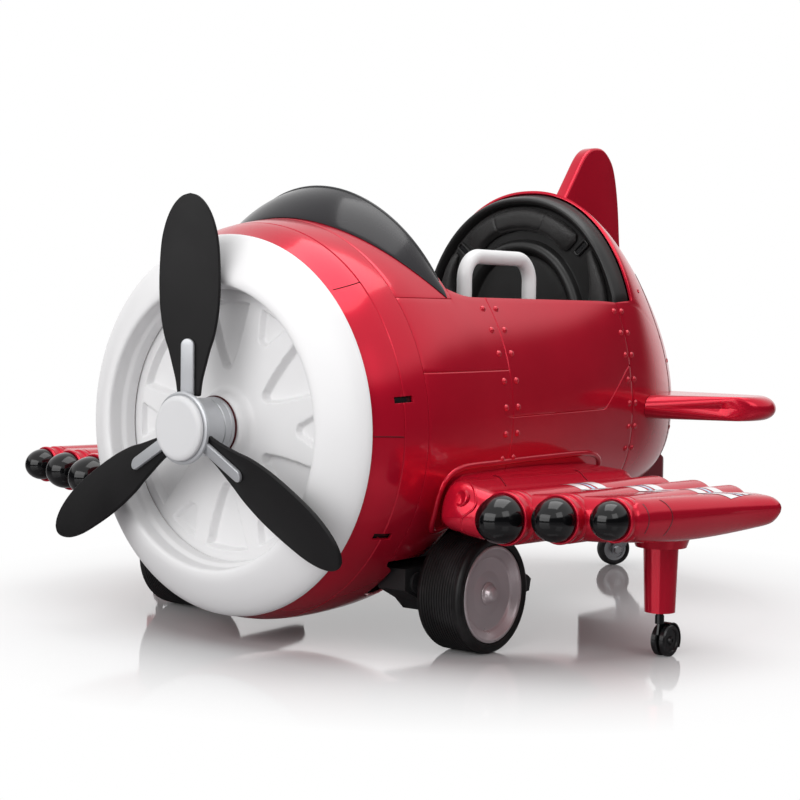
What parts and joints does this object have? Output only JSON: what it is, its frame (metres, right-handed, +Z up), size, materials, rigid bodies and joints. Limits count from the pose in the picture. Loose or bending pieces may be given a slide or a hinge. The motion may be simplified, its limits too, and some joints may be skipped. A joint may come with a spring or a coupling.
{
  "type": "electric ride-on toy airplane",
  "caption": "Child's ride-on toy airplane with a spinning propeller, cockpit seat, two steering levers, driven wheels and casters.",
  "frame": {"origin": "on the floor at the middle of the bounding box's width and length", "axes": "+X to the plane's port (left) side, nose towards -Y, tail towards +Y, +Z up"},
  "size_m": [1.203, 1.18, 0.73],
  "materials": {
    "red_gloss": "glossy moulded plastic",
    "dark_red": "glossy dark red plastic",
    "white_gloss": "glossy white plastic",
    "black_gloss": "mirror-smooth black plastic",
    "black_matt": "matt black plastic",
    "blade_black": "fine-grained matt black plastic",
    "seat_plastic": "semi-matt black moulding",
    "black_leather": "grained synthetic leather",
    "smoked_visor": "smoked translucent sheet",
    "silver_paint": "satin silver paint",
    "grey_rim": "satin grey-silver plastic",
    "steel": "brushed",
    "steel_plated": "bright zinc-plated",
    "rivet_metal": "small domed screw heads in the shell's colour",
    "tyre_rubber": "ribbed black tread",
    "caster_rubber": "black rubber",
    "green_gloss": "glossy green button",
    "amber_gloss": "glossy amber button",
    "battery_case": "dark blue case"
  },
  "bodies": {
    "airframe": {"cowl_ring": "white_gloss", "spoke_disc": "white_gloss", "nose_shell": "red_gloss", "side_shell_port": "red_gloss", "side_shell_starboard": "red_gloss", "tail_shell": "red_gloss", "tail_keel": "dark_red", "belly_pan": "black_matt", "chassis_beam": "black_matt", "hood": "red_gloss", "windshield": "smoked_visor", "cockpit_liner": "black_matt", "backrest": "seat_plastic", "head_pad": "black_leather", "seat_cushion": "black_leather", "dash_panel": "black_matt", "wing_upper_port": "red_gloss", "wing_upper_starboard": "red_gloss", "wing_lower_port": "red_gloss", "wing_lower_starboard": "red_gloss", "pod_caps_port": "black_gloss", "pod_caps_starboard": "black_gloss", "wing_leg_port": "red_gloss", "wing_leg_starboard": "red_gloss", "fin": "red_gloss", "stabilizer_port": "red_gloss", "stabilizer_starboard": "red_gloss", "rivets_port": "rivet_metal", "rivets_starboard": "rivet_metal", "prop_motor": "steel", "gearbox_port": "black_matt", "gearbox_starboard": "black_matt", "drive_motors": "steel", "wheel_axle": "steel", "battery": "battery_case", "lever_mounts": "black_matt", "charge_socket": "black_matt"},
    "propeller": {"prop_shaft": "steel", "prop_hub": "silver_paint", "hub_cap": "white_gloss", "prop_blades": "blade_black", "blade_clamps": "silver_paint"},
    "wheel_port": {"tyre_port": "tyre_rubber", "rim_port": "grey_rim", "wheel_cap_port": "grey_rim"},
    "wheel_starboard": {"tyre_starboard": "tyre_rubber", "rim_starboard": "grey_rim", "wheel_cap_starboard": "grey_rim"},
    "caster_fork_port": {"caster_body_port": "black_matt"},
    "caster_roll_port": {"caster_wheels_port": "caster_rubber"},
    "caster_fork_starboard": {"caster_body_starboard": "black_matt"},
    "caster_roll_starboard": {"caster_wheels_starboard": "caster_rubber"},
    "tail_caster": {"tail_fork": "steel_plated"},
    "tail_wheel": {"tail_tyre": "caster_rubber", "tail_rim": "steel_plated"},
    "lever_left": {"lever_port": "white_gloss"},
    "lever_right": {"lever_starboard": "white_gloss"},
    "start_push": {"start_button": "green_gloss"},
    "music_push": {"music_button": "amber_gloss"},
    "speed_switch": {"speed_rocker": "black_matt"}
  },
  "joints": [
    {"name": "propeller_spin", "type": "hinge", "parent": "airframe", "child": "propeller", "pos_m": [0, -0.54, 0.292], "axis": [0, -1, 0], "continuous": true},
    {"name": "wheel_port_spin", "type": "hinge", "parent": "airframe", "child": "wheel_port", "pos_m": [0.263, -0.304, 0.078], "axis": [1, 0, 0], "continuous": true},
    {"name": "caster_port_swivel", "type": "hinge", "parent": "airframe", "child": "caster_fork_port", "pos_m": [0.471, -0.176, 0.06], "axis": [0, 0, 1], "continuous": true},
    {"name": "caster_port_roll", "type": "hinge", "parent": "caster_fork_port", "child": "caster_roll_port", "pos_m": [0.471, -0.161, 0.021], "axis": [1, 0, 0], "continuous": true},
    {"name": "wheel_starboard_spin", "type": "hinge", "parent": "airframe", "child": "wheel_starboard", "pos_m": [-0.263, -0.304, 0.078], "axis": [1, 0, 0], "continuous": true},
    {"name": "caster_starboard_swivel", "type": "hinge", "parent": "airframe", "child": "caster_fork_starboard", "pos_m": [-0.471, -0.176, 0.06], "axis": [0, 0, 1], "continuous": true},
    {"name": "caster_starboard_roll", "type": "hinge", "parent": "caster_fork_starboard", "child": "caster_roll_starboard", "pos_m": [-0.471, -0.161, 0.021], "axis": [1, 0, 0], "continuous": true},
    {"name": "tail_swivel", "type": "hinge", "parent": "airframe", "child": "tail_caster", "pos_m": [0, 0.526, 0.08], "axis": [0, 0, 1], "continuous": true},
    {"name": "tail_roll", "type": "hinge", "parent": "tail_caster", "child": "tail_wheel", "pos_m": [-0.01678, 0.50113, 0.029], "axis": [0.829, -0.5592, 0], "continuous": true},
    {"name": "lever_left_tilt", "type": "hinge", "parent": "airframe", "child": "lever_left", "pos_m": [0.162, -0.117, 0.3], "axis": [1, 0, 0], "range_deg": [-10, 10], "stiffness_Nm_per_rad": 12},
    {"name": "lever_right_tilt", "type": "hinge", "parent": "airframe", "child": "lever_right", "pos_m": [-0.162, -0.117, 0.3], "axis": [1, 0, 0], "range_deg": [-10, 10], "stiffness_Nm_per_rad": 12},
    {"name": "start_press", "type": "slide", "parent": "airframe", "child": "start_push", "axis": [0, -1, 0], "range_m": [0, 0.003], "stiffness_N_per_m": 400},
    {"name": "music_press", "type": "slide", "parent": "airframe", "child": "music_push", "axis": [0, -1, 0], "range_m": [0, 0.003], "stiffness_N_per_m": 400},
    {"name": "speed_tilt", "type": "hinge", "parent": "airframe", "child": "speed_switch", "pos_m": [0, -0.292, 0.5], "axis": [1, 0, 0], "range_deg": [-9, 9]}
  ]
}
